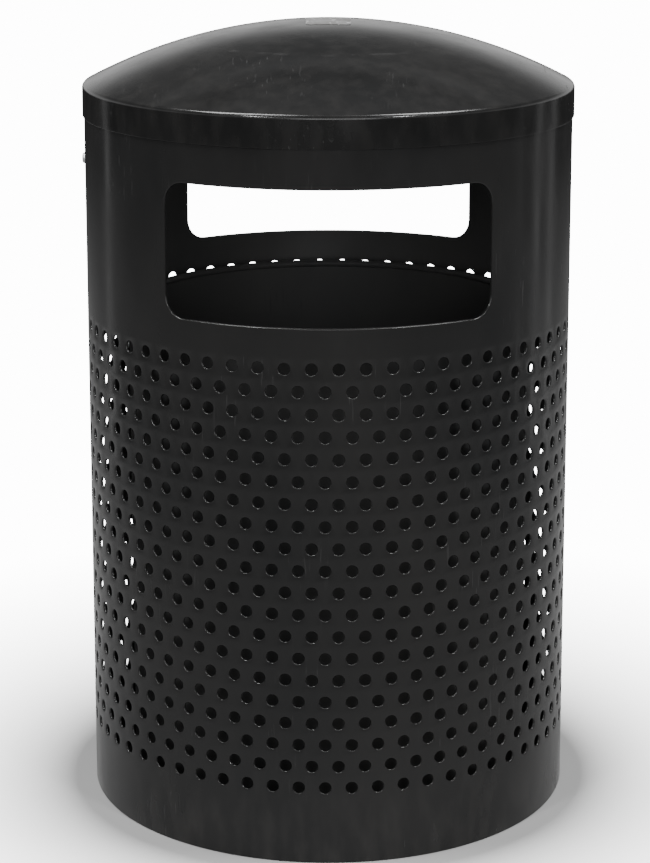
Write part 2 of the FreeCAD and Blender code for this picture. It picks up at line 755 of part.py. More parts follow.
def liner_handle(side):
    """Drop handle of one bent wire, whose ends turn in and meet inside the clip's barrel."""
    body = new_body("liner_handle_" + side)
    path = sketch_on(body, "YZ_Plane", "handle_path_" + side)
    half, drop, bend = size("handle_width") / 2, size("handle_drop"), size("handle_bend")
    gap = size("handle_end_gap") / 2
    quarter = math.pi / 2

    def arc(across, up, start):
        return Part.ArcOfCircle(Part.Circle(Vector(across, up, 0), Z_AXIS, bend), start, start + quarter)

    inset, low = half - bend, bend - drop
    geometry = [
        Part.LineSegment(Vector(gap, 0, 0), Vector(inset, 0, 0)),
        arc(inset, -bend, 0),
        Part.LineSegment(Vector(half, -bend, 0), Vector(half, low, 0)),
        arc(inset, low, 3 * quarter),
        Part.LineSegment(Vector(inset, -drop, 0), Vector(-inset, -drop, 0)),
        arc(-inset, low, 2 * quarter),
        Part.LineSegment(Vector(-half, low, 0), Vector(-half, -bend, 0)),
        arc(-inset, -bend, quarter),
        Part.LineSegment(Vector(-inset, 0, 0), Vector(-gap, 0, 0)),
    ]
    for piece in geometry:
        path.addGeometry(piece, False)
    for curve in range(8):
        end = 1 if curve % 2 else 2
        path.addConstraint(Sketcher.Constraint("Tangent", curve, end, curve + 1, end))
    for curve in (0, 8):
        path.addConstraint(Sketcher.Constraint("Horizontal", curve))
    for curve in (2, 6):
        path.addConstraint(Sketcher.Constraint("Vertical", curve))
    for curve in (3, 5, 7):
        path.addConstraint(Sketcher.Constraint("Equal", 1, curve))
    number = path.addConstraint(Sketcher.Constraint("Radius", 1, bend))
    path.setExpression(f"Constraints[{number}]", "Sizes.handle_bend")
    place_point(path, 0, 1, "Sizes.handle_end_gap / 2", 0)
    place_point(path, 8, 2, "-Sizes.handle_end_gap / 2", 0)
    corner = "(Sizes.handle_width / 2 - Sizes.handle_bend)"
    for curve, end, sign in ((4, 1, ""), (4, 2, "-")):
        place_point(path, curve, end, sign + corner, "-Sizes.handle_drop")

    section = sketch_on(body, "XZ_Plane", "handle_section_" + side)
    circle(section, 0, 0, "Sizes.handle_wire")
    bind(section, AttachmentOffset__Base__z="-Sizes.handle_end_gap / 2")
    doc.recompute()
    pipe = body.newObject("PartDesign::AdditivePipe", "handle_wire_" + side)
    pipe.Profile = section
    pipe.Spine = path
    body.Tip = pipe
    body.Placement = side_turn(side)
    sign = "" if side == "right" else "-"
    bind(body, Placement__Base__x=f"{sign}{PIVOT_X}", Placement__Base__z=PIVOT_HEIGHT)
    return body


def all_nodes():
    """Every separate piece of the bin, in the order in which it goes together."""
    tube = casing_tube()
    nodes = [casing_half("front", tube), casing_half("rear", tube), base_plate(), liner_locators()]
    nodes += [lid_dome(), lid_seat_ring(), lid_leg("left"), lid_leg("right"), dome_label()]
    nodes += [lid_screw(), *lid_screw_stack()]
    nodes += [liner_wall(), liner_floor(), *liner_rim()]
    for side in ("left", "right"):
        nodes += [handle_clip(side), handle_rivets(side), liner_handle(side)]
    return nodes


def check(nodes):
    """Stops the build if any object failed, or any node's shape is missing or broken."""
    for thing in doc.Objects:
        if "Invalid" in thing.State or "Error" in thing.State:
            raise RuntimeError(f"{thing.Label} failed: {thing.State}")
    for node in nodes:
        if node.Shape.isNull() or not node.Shape.isValid() or not node.Shape.Solids:
            raise RuntimeError(f"{node.Label} has no valid solid")


nodes = all_nodes()
doc.recompute()
check(nodes)
os.makedirs("parts", exist_ok=True)
for node in nodes:
    node.Shape.exportStep(f"parts/{node.Label}.step")
    print(f"{node.Label}: {len(node.Shape.Solids)} solids, {node.Shape.Volume / 1000:.2f} cm3")
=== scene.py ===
"""Dresses the litter bin: a perforated casing, a domed lift-off lid and a loose liner.

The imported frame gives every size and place. The casing's shell and the lid's dome are modelled
anew, with their fine edges, and every other node of the frame keeps its shape and gets a finish.
"""

import logging
import math
from contextlib import contextmanager
from dataclasses import dataclass
from enum import Enum
from typing import Callable, Iterator

import bpy
from bpy.types import Material, Modifier, Node, NodeSocket, Object
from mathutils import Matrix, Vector


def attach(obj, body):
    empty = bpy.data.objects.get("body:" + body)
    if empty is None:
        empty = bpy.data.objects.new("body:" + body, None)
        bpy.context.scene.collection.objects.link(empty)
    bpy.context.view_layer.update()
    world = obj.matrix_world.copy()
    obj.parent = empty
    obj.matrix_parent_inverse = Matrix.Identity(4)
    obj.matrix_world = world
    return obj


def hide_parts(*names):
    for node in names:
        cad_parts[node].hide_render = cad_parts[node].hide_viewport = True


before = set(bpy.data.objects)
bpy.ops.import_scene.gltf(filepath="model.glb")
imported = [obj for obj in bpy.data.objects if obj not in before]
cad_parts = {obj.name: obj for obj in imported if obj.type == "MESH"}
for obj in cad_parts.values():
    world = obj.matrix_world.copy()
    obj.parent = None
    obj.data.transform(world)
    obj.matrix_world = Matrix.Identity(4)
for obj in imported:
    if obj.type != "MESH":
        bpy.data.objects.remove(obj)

MERGE_GAP = 0.00002
Ring = tuple[float, float]
log = logging.getLogger("litter_bin")


class Wear(Enum):
    """Which way the rubbed marks on a finish run."""

    UPRIGHT = "upright"
    ROUND_AXIS = "round the axis"
    SCATTERED = "scattered"


STRETCH: dict[Wear, tuple[float, float, float]] = {
    Wear.UPRIGHT: (1.0, 1.0, 0.07),
    Wear.ROUND_AXIS: (1.0, 1.0, 1.0),
    Wear.SCATTERED: (1.0, 0.05, 0.4),
}


# ---------------------------------------------------------------- modelling by hand


def clear_selection() -> None:
    """Leaves edit mode and deselects every object."""
    if bpy.context.mode != "OBJECT":
        bpy.ops.object.mode_set(mode="OBJECT")
    bpy.ops.object.select_all(action="DESELECT")


def take_new(name: str) -> Object:
    """Names the primitive that was just added, and puts its place into its mesh.

    Args:
        name: The piece's name, for the object and for its mesh.

    Returns:
        The new object, at the origin, unturned and unscaled.
    """
    piece = bpy.context.object
    piece.name = name
    piece.data.name = name
    bpy.ops.object.transform_apply(location=True, rotation=True, scale=True)
    return piece


@contextmanager
def editing(piece: Object) -> Iterator[Object]:
    """Edit mode on one piece, with nothing selected at first.

    Args:
        piece: The mesh object to shape.

    Returns:
        The same object, for the length of the block.
    """
    clear_selection()
    bpy.context.view_layer.objects.active = piece
    piece.select_set(True)
    bpy.ops.object.mode_set(mode="EDIT")
    bpy.ops.mesh.select_all(action="DESELECT")
    yield piece
    bpy.ops.object.mode_set(mode="OBJECT")


def pick(piece: Object, kind: str, test: Callable[[Vector], bool]) -> int:
    """Selects the elements of one kind, all of whose corners pass a test by place.

    Args:
        piece: The object in edit mode.
        kind: "VERT", "EDGE" or "FACE".
        test: Says whether a corner's place belongs to the selection.

    Returns:
        How many elements are selected.
    """
    bpy.ops.mesh.select_mode(type=kind)
    bpy.ops.object.mode_set(mode="OBJECT")
    mesh = piece.data
    inside = [test(corner.co) for corner in mesh.vertices]
    for group in (mesh.vertices, mesh.edges, mesh.polygons):
        group.foreach_set("select", [False] * len(group))
    if kind == "VERT":
        chosen = [corner for corner in mesh.vertices if inside[corner.index]]
    elif kind == "EDGE":
        chosen = [edge for edge in mesh.edges if all(inside[v] for v in edge.vertices)]
    else:
        chosen = [face for face in mesh.polygons if all(inside[v] for v in face.vertices)]
    for element in chosen:
        element.select = True
    bpy.ops.object.mode_set(mode="EDIT")
    return len(chosen)


def apply_modifier(piece: Object, kind: str, **settings: object) -> None:
    """Adds one modifier to a piece and applies it.

    Args:
        piece: The object to change.
        kind: The modifier's type.
        settings: The modifier's properties by name.
    """
    clear_selection()
    bpy.context.view_layer.objects.active = piece
    piece.select_set(True)
    modifier: Modifier = piece.modifiers.new(kind.title(), kind)
    for name, value in settings.items():
        setattr(modifier, name, value)
    bpy.ops.object.modifier_apply(modifier=modifier.name)


def join(pieces: list[Object], name: str) -> Object:
    """Joins several objects into the first one and merges what they share.

    Args:
        pieces: The objects, which become one.
        name: The joined piece's name.

    Returns:
        The joined object.
    """
    clear_selection()
    for piece in pieces:
        piece.select_set(True)
    bpy.context.view_layer.objects.active = pieces[0]
    bpy.ops.object.join()
    joined = bpy.context.object
    joined.name = name
    joined.data.name = name
    with editing(joined):
        bpy.ops.mesh.select_all(action="SELECT")
        bpy.ops.mesh.remove_doubles(threshold=MERGE_GAP)
    return joined


def smooth(piece: Object, sharp_above: float) -> None:
    """Shades a piece smooth, with flat faces kept flat up to their rounded edges.

    Args:
        piece: The object to shade.
        sharp_above: Edges that turn by more than this many degrees stay sharp.
    """
    clear_selection()
    bpy.context.view_layer.objects.active = piece
    piece.select_set(True)
    bpy.ops.object.shade_smooth_by_angle(angle=math.radians(sharp_above))
    apply_modifier(piece, "WEIGHTED_NORMAL", keep_sharp=True, weight=80)


def lathe(name: str, rings: list[Ring], segments: int, closed_top: bool) -> Object:
    """Draws a circle up through a list of rings, as a sheet with no thickness.

    Args:
        name: The piece's name.
        rings: Radius and height of each ring, from the first circle on.
        segments: How many edges the circle has.
        closed_top: Whether the last ring is drawn together into one point.

    Returns:
        The turned sheet, with its faces outward.
    """
    clear_selection()
    radius, height = rings[0]
    bpy.ops.mesh.primitive_circle_add(
        vertices=segments, radius=radius, fill_type="NOTHING", location=(0, 0, height)
    )
    piece = take_new(name)
    with editing(piece):
        bpy.ops.mesh.select_all(action="SELECT")
        for next_radius, next_height in rings[1:]:
            share = next_radius / radius
            bpy.ops.mesh.extrude_region_move()
            bpy.ops.transform.resize(value=(share, share, 1), center_override=(0, 0, 0))
            bpy.ops.transform.translate(value=(0, 0, next_height - height))
            radius, height = next_radius, next_height
        if closed_top:
            bpy.ops.mesh.extrude_region_move()
            bpy.ops.mesh.merge(type="CENTER")
        bpy.ops.mesh.select_all(action="SELECT")
        bpy.ops.mesh.remove_doubles(threshold=MERGE_GAP / 2)
        bpy.ops.mesh.normals_make_consistent(inside=False)
    return piece


# ---------------------------------------------------------------- finishes


class NodeSheet:
    """One material's nodes, with a short call for each kind that the finishes use."""

    def __init__(self, name: str) -> None:
        """Starts a material with its Principled shader and Object coordinates.

        Args:
            name: The material's name.
        """
        self.material: Material = bpy.data.materials.new(name)
        self.material.use_nodes = True
        self.tree = self.material.node_tree
        self.shader: Node = self.tree.nodes["Principled BSDF"]
        self.place: NodeSocket = self.add("ShaderNodeTexCoord").outputs["Object"]

    def add(self, kind: str) -> Node:
        """A new node of one kind."""
        return self.tree.nodes.new(kind)

    def feed(self, socket: NodeSocket, value: object) -> None:
        """Links a socket to another, or sets its own value.

        Args:
            socket: The input to fill.
            value: An output socket, or a plain value.
        """
        if isinstance(value, NodeSocket):
            self.tree.links.new(value, socket)
        else:
            socket.default_value = value

    def stretched(self, stretch: tuple[float, float, float], shift: float = 0.0) -> NodeSocket:
        """Object coordinates, scaled by axis and moved along X.

        Args:
            stretch: The scale on each axis.
            shift: How far the pattern is moved, so that two of them differ.

        Returns:
            The vector output.
        """
        mapping = self.add("ShaderNodeMapping")
        self.feed(mapping.inputs["Vector"], self.place)
        mapping.inputs["Scale"].default_value = stretch
        mapping.inputs["Location"].default_value = (shift, 0.0, 0.0)
        return mapping.outputs["Vector"]

    def round_axis(self) -> NodeSocket:
        """Distance from the Z axis as a vector, so that a pattern runs in rings."""
        flat = self.add("ShaderNodeVectorMath")
        flat.operation = "MULTIPLY"
        self.feed(flat.inputs[0], self.place)
        flat.inputs[1].default_value = (1.0, 1.0, 0.0)
        reach = self.add("ShaderNodeVectorMath")
        reach.operation = "LENGTH"
        self.feed(reach.inputs[0], flat.outputs["Vector"])
        vector = self.add("ShaderNodeCombineXYZ")
        self.feed(vector.inputs["X"], reach.outputs["Value"])
        return vector.outputs["Vector"]

    def noise(self, vector: NodeSocket, scale: float, detail: float = 3.0) -> NodeSocket:
        """A noise pattern from 0 to 1.

        Args:
            vector: Where it is read.
            scale: Spots per metre.
            detail: How many finer layers it has.

        Returns:
            The factor output.
        """
        node = self.add("ShaderNodeTexNoise")
        self.feed(node.inputs["Vector"], vector)
        node.inputs["Scale"].default_value = scale
        node.inputs["Detail"].default_value = detail
        return node.outputs[0]

    def between(
        self, value: NodeSocket, start: float, end: float, low: float = 0.0, high: float = 1.0
    ) -> NodeSocket:
        """Maps a range of values to another, held at its ends.

        Args:
            value: What is mapped.
            start: The value that becomes low.
            end: The value that becomes high.
            low: The result at start.
            high: The result at end.

        Returns:
            The result output.
        """
        node = self.add("ShaderNodeMapRange")
        for name, given in (
            ("Value", value), ("From Min", start), ("From Max", end),
            ("To Min", low), ("To Max", high),
        ):
            self.feed(node.inputs[name], given)
        return node.outputs["Result"]

    def math(self, operation: str, first: object, second: object) -> NodeSocket:
        """One arithmetic step on two values, held from 0 to 1.

        Args:
            operation: The node's operation.
            first: A socket or number.
            second: A socket or number.

        Returns:
            The value output.
        """
        node = self.add("ShaderNodeMath")
        node.operation = operation
        node.use_clamp = True
        self.feed(node.inputs[0], first)
        self.feed(node.inputs[1], second)
        return node.outputs[0]

    def blend(self, factor: NodeSocket, first: object, second: object) -> NodeSocket:
        """Mixes two colours.

        Args:
            factor: 0 for the first colour and 1 for the second.
            first: A colour socket or four numbers.
            second: A colour socket or four numbers.

        Returns:
            The colour output.
        """
        node = self.add("ShaderNodeMix")
        node.data_type = "RGBA"
        self.feed(node.inputs[0], factor)
        self.feed(node.inputs[6], first)
        self.feed(node.inputs[7], second)
        return node.outputs[2]

    def bumps(self, layers: list[tuple[NodeSocket, float]]) -> NodeSocket:
        """Stacks height patterns into one normal.

        Args:
            layers: Each pattern with the depth in metres that it stands for.

        Returns:
            The normal output.
        """
        normal: NodeSocket | None = None
        for height, depth in layers:
            node = self.add("ShaderNodeBump")
            node.inputs["Strength"].default_value = 1.0
            node.inputs["Distance"].default_value = depth
            self.feed(node.inputs["Height"], height)
            if normal is not None:
                self.feed(node.inputs["Normal"], normal)
            normal = node.outputs["Normal"]
        return normal

    def height(self) -> NodeSocket:
        """Height above the ground."""
        node = self.add("ShaderNodeSeparateXYZ")
        self.feed(node.inputs[0], self.place)
        return node.outputs["Z"]


def grey(level: float, warmth: float = 0.0) -> tuple[float, float, float, float]:
    """A grey, warm or cool, as a linear colour.

    Args:
        level: Its brightness.
        warmth: Above 0 is warmer, and below 0 cooler, as a share of the level.

    Returns:
        Red, green, blue and alpha.
    """
    return (level * (1 + warmth), level, level * (1 - warmth), 1.0)


@dataclass(frozen=True)
class BlackCoat:
    """Black coating on sheet steel: orange peel, slow waves of the sheet, rubbed marks and dust.

    Sizes are in metres, and the gloss values are roughness.
    """

    name: str
    tint: float = 0.0105
    rubbed: float = 0.035
    gloss: float = 0.15
    dull: float = 0.27
    level: float = 0.3
    peel_depth: float = 0.000035
    wave_depth: float = 0.0011
    wave_stretch: tuple[float, float, float] = (1.0, 1.0, 0.12)
    wear: Wear = Wear.UPRIGHT
    wear_share: float = 0.5
    dust: float = 0.14
    dust_height: float = 0.10

    def material(self) -> Material:
        """Builds the coating's node material."""
        sheet = NodeSheet(self.name)
        marks = self.marks(sheet)
        dusty = self.dusting(sheet)
        cloud = sheet.between(sheet.noise(sheet.stretched((1, 1, 0.6)), 6.0, 5.0), 0.35, 0.7)
        base = sheet.blend(cloud, grey(self.tint * 0.85, -0.02), grey(self.tint * 1.25, 0.02))
        worn = sheet.blend(marks, base, grey(self.rubbed))
        colour = sheet.blend(dusty, worn, grey(0.085, 0.06))
        sheet.feed(sheet.shader.inputs["Base Color"], colour)
        fine = sheet.noise(sheet.stretched((1, 1, 0.5), 3.0), 22.0, 6.0)
        rough = sheet.between(fine, 0.3, 0.72, self.gloss, self.dull)
        rough = sheet.math("ADD", rough, sheet.math("MULTIPLY", marks, 0.28))
        rough = sheet.math("ADD", rough, sheet.math("MULTIPLY", dusty, 0.35))
        sheet.feed(sheet.shader.inputs["Roughness"], rough)
        sheet.shader.inputs["Specular IOR Level"].default_value = self.level
        wave = sheet.noise(sheet.stretched(self.wave_stretch, 1.7), 9.0, 1.0)
        peel = sheet.noise(sheet.stretched((1, 1, 1)), 420.0, 2.0)
        normal = sheet.bumps(
            [(wave, self.wave_depth), (peel, self.peel_depth), (marks, -self.peel_depth / 2)]
        )
        sheet.feed(sheet.shader.inputs["Normal"], normal)
        return sheet.material

    def marks(self, sheet: NodeSheet) -> NodeSocket:
        """Rubs and scratches, in patches.

        Args:
            sheet: The nodes that they are added to.

        Returns:
            1 on a mark and 0 off it.
        """
        if self.wear is Wear.ROUND_AXIS:
            lines = sheet.noise(sheet.round_axis(), 900.0, 2.0)
        else:
            lines = sheet.noise(sheet.stretched(STRETCH[self.wear], 5.0), 420.0, 2.0)
        thin = sheet.between(lines, 0.63, 0.72)
        patch = sheet.between(sheet.noise(sheet.stretched((1, 1, 1), 9.0), 11.0, 2.0), 0.52, 0.68)
        return sheet.math("MULTIPLY", sheet.math("MULTIPLY", thin, patch), self.wear_share)

    def dusting(self, sheet: NodeSheet) -> NodeSocket:
        """Dust that is thicker near the ground.

        Args:
            sheet: The nodes that it is added to.

        Returns:
            The dust's share of the surface.
        """
        low = sheet.between(sheet.height(), 0.0, self.dust_height, 1.0, 0.06)
        grains = sheet.noise(sheet.stretched((1, 1, 0.35), 2.0), 70.0, 6.0)
        speckle = sheet.between(grains, 0.42, 0.72)
        return sheet.math("MULTIPLY", sheet.math("MULTIPLY", low, speckle), self.dust)


@dataclass(frozen=True)
class DomeCoat(BlackCoat):
    """The lid's coat, with a broken ring where things have stood on it."""

    ring_radius: float = 0.134
    ring_width: float = 0.0022
    ring_wander: float = 0.006
    ring_share: float = 0.25

    def marks(self, sheet: NodeSheet) -> NodeSocket:
        """Rubs and scratches, and the ring.

        Args:
            sheet: The nodes that they are added to.

        Returns:
            1 on a mark and 0 off it.
        """
        rubs = super().marks(sheet)
        wander = sheet.noise(sheet.stretched((1, 1, 1), 4.0), 7.0, 2.0)
        split = sheet.add("ShaderNodeSeparateXYZ")
        sheet.feed(split.inputs[0], sheet.round_axis())
        shifted = sheet.add("ShaderNodeMath")
        shifted.operation = "MULTIPLY_ADD"
        sheet.feed(shifted.inputs[0], wander)
        shifted.inputs[1].default_value = self.ring_wander
        sheet.feed(shifted.inputs[2], split.outputs["X"])
        away = sheet.add("ShaderNodeMath")
        away.operation = "COMPARE"
        sheet.feed(away.inputs[0], shifted.outputs[0])
        away.inputs[1].default_value = self.ring_radius
        away.inputs[2].default_value = self.ring_width
        broken = sheet.between(sheet.noise(sheet.stretched((1, 1, 1), 7.0), 55.0, 5.0), 0.5, 0.66)
        ring = sheet.math("MULTIPLY", away.outputs[0], broken)
        return sheet.math("MAXIMUM", rubs, sheet.math("MULTIPLY", ring, self.ring_share))


@dataclass(frozen=True)
class BrightMetal:
    """Bare or plated steel with fine grain, dull spots and a little tarnish in scattered spots."""

    name: str
    colour: float = 0.62
    tarnish: float = 0.34
    gloss: float = 0.24
    dull: float = 0.42
    grain: tuple[float, float, float] = (1.0, 0.1, 1.0)
    grain_depth: float = 0.00001

    def material(self) -> Material:
        """Builds the metal's node material."""
        sheet = NodeSheet(self.name)
        spots = sheet.between(sheet.noise(sheet.stretched((1, 1, 1)), 140.0, 5.0), 0.45, 0.72)
        colour = sheet.blend(spots, grey(self.colour, -0.02), grey(self.tarnish, 0.05))
        sheet.feed(sheet.shader.inputs["Base Color"], colour)
        sheet.shader.inputs["Metallic"].default_value = 1.0
        lines = sheet.noise(sheet.stretched(self.grain, 1.0), 900.0, 2.0)
        rough = sheet.between(lines, 0.3, 0.7, self.gloss, self.dull)
        rough = sheet.math("ADD", rough, sheet.math("MULTIPLY", spots, 0.18))
        sheet.feed(sheet.shader.inputs["Roughness"], rough)
        normal = sheet.bumps([(lines, self.grain_depth), (spots, self.grain_depth)])
        sheet.feed(sheet.shader.inputs["Normal"], normal)
        return sheet.material


@dataclass(frozen=True)
class LabelFilm:
    """Blank printed film, faded in patches and worn through in small flecks."""

    name: str
    colour: float = 0.13
    worn: float = 0.4

    def material(self) -> Material:
        """Builds the film's node material."""
        sheet = NodeSheet(self.name)
        fade = sheet.between(sheet.noise(sheet.stretched((1, 1, 1)), 45.0, 4.0), 0.3, 0.75)
        printed = sheet.blend(fade, grey(self.colour), grey(self.colour * 0.6, 0.03))
        worn = sheet.noise(sheet.stretched((1, 0.5, 1), 2.0), 260.0, 3.0)
        flecks = sheet.between(worn, 0.6, 0.68)
        sheet.feed(sheet.shader.inputs["Base Color"], sheet.blend(flecks, printed, grey(self.worn)))
        sheet.feed(sheet.shader.inputs["Roughness"], sheet.between(fade, 0.0, 1.0, 0.34, 0.55))
        normal = sheet.bumps([(sheet.noise(sheet.stretched((1, 1, 1)), 500.0, 1.0), 0.00001)])
        sheet.feed(sheet.shader.inputs["Normal"], normal)
        return sheet.material


@dataclass(frozen=True)
class PaleFloor:
    """Plain pale floor that fades out round the object."""

    name: str
    colour: float = 0.32
    clear_from: float = 0.25
    clear_to: float = 0.75

    def material(self) -> Material:
        """Builds the floor's node material."""
        sheet = NodeSheet(self.name)
        tone = sheet.noise(sheet.stretched((1, 1, 1)), 3.0, 4.0)
        colour = sheet.blend(tone, grey(self.colour), grey(self.colour * 0.97))
        sheet.feed(sheet.shader.inputs["Base Color"], colour)
        sheet.shader.inputs["Roughness"].default_value = 0.9
        sheet.shader.inputs["Specular IOR Level"].default_value = 0.1
        away = sheet.add("ShaderNodeSeparateXYZ")
        sheet.feed(away.inputs[0], sheet.round_axis())
        shown = sheet.between(away.outputs["X"], self.clear_from, self.clear_to, 1.0, 0.0)
        sheet.feed(sheet.shader.inputs["Alpha"], shown)
        return sheet.material


def dress(piece: Object, finish: Material) -> None:
    """Gives a piece or a node of the frame one finish all over.

    Args:
        piece: The object to dress.
        finish: Its material.
    """
    piece.data.materials.clear()
    piece.data.materials.append(finish)


@dataclass
class Finishes:
    """Every finish on the bin, made once."""

    def __post_init__(self) -> None:
        """Builds the materials."""
        self.casing = BlackCoat("casing_coat").material()
        # Painted light: the casing's inner face is the same black coat painted about five times
        # lighter, for light in the shaded inside of the bin.
        self.casing_inner_painted_light = BlackCoat(
            "casing_inner_coat_painted_light", tint=0.05, gloss=0.3, dull=0.42, wear_share=0.3,
        ).material()
        # Painted shade: the dome's coat is painted darker than the casing's to offset the overhead
        # boxes' light on its top.
        self.dome = DomeCoat(
            "dome_coat_painted_shade", tint=0.007, gloss=0.13, dull=0.25, wave_depth=0.0004,
            wave_stretch=(1, 1, 1), wear=Wear.SCATTERED, wear_share=0.5, dust=0.1,
            dust_height=1.2, rubbed=0.04,
        ).material()
        self.fittings = BlackCoat(
            "fittings_coat", gloss=0.3, dull=0.45, wave_depth=0.0002, wear=Wear.ROUND_AXIS,
            dust=0.15, dust_height=0.8,
        ).material()
        self.base = BlackCoat(
            "base_coat", gloss=0.36, dull=0.55, wave_depth=0.0004, wear=Wear.SCATTERED,
            dust=0.6, dust_height=0.04,
        ).material()
        # The liner's own dark paint, lightened as painted light for the light that reaches it
        # through the holes and the openings.
        self.liner = BlackCoat(
            "liner_paint", tint=0.045, gloss=0.5, dull=0.62, level=0.12, wave_depth=0.0009,
            wear_share=0.7, dust=0.3, dust_height=0.25,
        ).material()
        self.zinc = BrightMetal("bright_zinc").material()
        self.wire = BrightMetal(
            "drawn_wire", colour=0.5, tarnish=0.22, gloss=0.28, grain=(1, 1, 0.1)
        ).material()
        self.label = LabelFilm("label_film").material()
        self.floor = PaleFloor("floor_paint").material()


# ---------------------------------------------------------------- sub-assemblies


@dataclass
class Casing:
    """Perforated tube with its base plate and the liner's locating tabs.

    The sheet is modelled flat, as it is before rolling: X runs round the casing from the front,
    Z is the height, and -Y is the outer face. It is then rolled and given its thickness.
    """

    radius: float = 0.230
    wall: float = 0.002
    height: float = 0.676
    holes_per_row: int = 60
    rows: int = 20
    row_pitch: float = 0.0205
    top_row: float = 0.462
    first_hole: float = 2.3
    hole_radius: float = 0.0055
    hole_sides: int = 16
    opening_half_chord: float = 0.145
    opening_bottom: float = 0.4985
    opening_height: float = 0.122
    opening_corner: float = 0.0205
    corner_steps: int = 7
    upper_rows: int = 14
    hole_edge: float = 0.0008
    opening_edge: float = 0.001

    @property
    def cell(self) -> float:
        """Distance between two holes of a row, round the casing."""
        return 2 * math.pi * self.radius / self.holes_per_row

    @property
    def seam(self) -> float:
        """Where the flat sheet starts, about a quarter turn before the front."""
        before = self.holes_per_row // 4
        return math.radians(self.first_hole) * self.radius - (before + 0.5) * self.cell

    @property
    def band_bottom(self) -> float:
        """Height at which the plain upper band starts."""
        return self.top_row + self.row_pitch / 2

    def hole_cell(self, column: float, height: float) -> Object:
        """One hole with the sheet round it, out to halfway to its neighbours.

        Args:
            column: The hole's centre along the sheet.
            height: The hole's centre above the ground.

        Returns:
            The flat cell.
        """
        clear_selection()
        upright = (math.pi / 2, 0, 0)
        place = (column, 0, height)
        bpy.ops.mesh.primitive_grid_add(x_subdivisions=4, y_subdivisions=4, size=1)
        piece = take_new("hole_cell")
        with editing(piece):
            bpy.ops.mesh.select_all(action="SELECT")
            size = (self.cell, self.row_pitch, 1)
            bpy.ops.transform.resize(value=size, center_override=(0, 0, 0))
            inside_x, inside_y = self.cell * 0.4, self.row_pitch * 0.4
            pick(piece, "VERT", lambda co: abs(co.x) < inside_x and abs(co.y) < inside_y)
            bpy.ops.mesh.delete(type="VERT")
            bpy.ops.mesh.primitive_circle_add(
                vertices=self.hole_sides, radius=self.hole_radius, fill_type="NOTHING"
            )
            bpy.ops.mesh.select_all(action="SELECT")
            bpy.ops.mesh.bridge_edge_loops()
        piece.rotation_euler = upright
        piece.location = place
        clear_selection()
        piece.select_set(True)
        bpy.context.view_layer.objects.active = piece
        bpy.ops.object.transform_apply(location=True, rotation=True, scale=True)
        return piece

    def perforation(self) -> Object:
        """The whole field of staggered holes, laid out flat."""
        start = self.seam + self.cell / 2
        even = self.hole_cell(start, self.top_row)
        odd = self.hole_cell(start + self.cell / 2, self.top_row - self.row_pitch)
        field = join([even, odd], "perforation")
        steps = (
            (self.holes_per_row, (self.cell, 0, 0)),
            (self.rows // 2, (0, 0, -2 * self.row_pitch)),
        )
        for count, step in steps:
            apply_modifier(
                field, "ARRAY", count=count, use_relative_offset=False, use_constant_offset=True,
                constant_offset_displace=step, use_merge_vertices=True, merge_threshold=MERGE_GAP,
            )
        return field

    def plain_band(self, name: str, low: float, high: float, rows: int, shift: float) -> Object:
        """A flat band of plain sheet, in columns that match the holes' cells.

        Args:
            name: The band's name.
            low: Its lower edge.
            high: Its upper edge.
            rows: How many rows of faces it has.
            shift: How far it starts from the seam.

        Returns:
            The flat band.
        """
        clear_selection()
        length = self.cell * self.holes_per_row
        bpy.ops.mesh.primitive_grid_add(
            x_subdivisions=4 * self.holes_per_row, y_subdivisions=rows, size=1
        )
        band = take_new(name)
        band.scale = (length, high - low, 1)
        band.rotation_euler = (math.pi / 2, 0, 0)
        band.location = (self.seam + shift + length / 2, 0, (low + high) / 2)
        bpy.ops.object.transform_apply(location=True, rotation=True, scale=True)
        return band

    def cut_opening(self, band: Object, centre: float) -> None:
        """Cuts one opening with rounded corners into the upper band.

        Args:
            band: The flat band.
            centre: The opening's middle along the sheet.
        """
        row = (self.height - self.band_bottom) / self.upper_rows
        column = self.cell / 4
        half = math.asin(self.opening_half_chord / self.radius) * self.radius
        low = self.band_bottom + row * math.floor((self.opening_bottom - self.band_bottom) / row)
        top = self.opening_bottom + self.opening_height
        high = self.band_bottom + row * math.ceil((top - self.band_bottom) / row)
        first = self.seam + column * math.floor((centre - half - column - self.seam) / column)
        last = self.seam + column * math.ceil((centre + half + column - self.seam) / column)
        across, up = round((last - first) / column), round((high - low) / row)
        near = MERGE_GAP * 5

        def in_frame(co: Vector) -> bool:
            return first - near < co.x < last + near and low - near < co.z < high + near

        def on_frame(co: Vector) -> bool:
            side = min(abs(co.x - first), abs(co.x - last)) < near
            level = min(abs(co.z - low), abs(co.z - high)) < near
            return in_frame(co) and (side or level)

        with editing(band):
            pick(band, "FACE", in_frame)
            bpy.ops.mesh.delete(type="FACE")
        opening = self.opening_outline(centre, half, across - self.corner_steps - 3, up - 4)
        inner = (centre - half - near, centre + half + near)

        def on_opening(co: Vector) -> bool:
            level = self.opening_bottom - near < co.z < top + near
            return inner[0] < co.x < inner[1] and level

        clear_selection()
        band.select_set(True)
        opening.select_set(True)
        bpy.context.view_layer.objects.active = band
        bpy.ops.object.join()
        with editing(band):
            pick(band, "EDGE", lambda co: on_frame(co) or on_opening(co))
            bpy.ops.mesh.bridge_edge_loops()

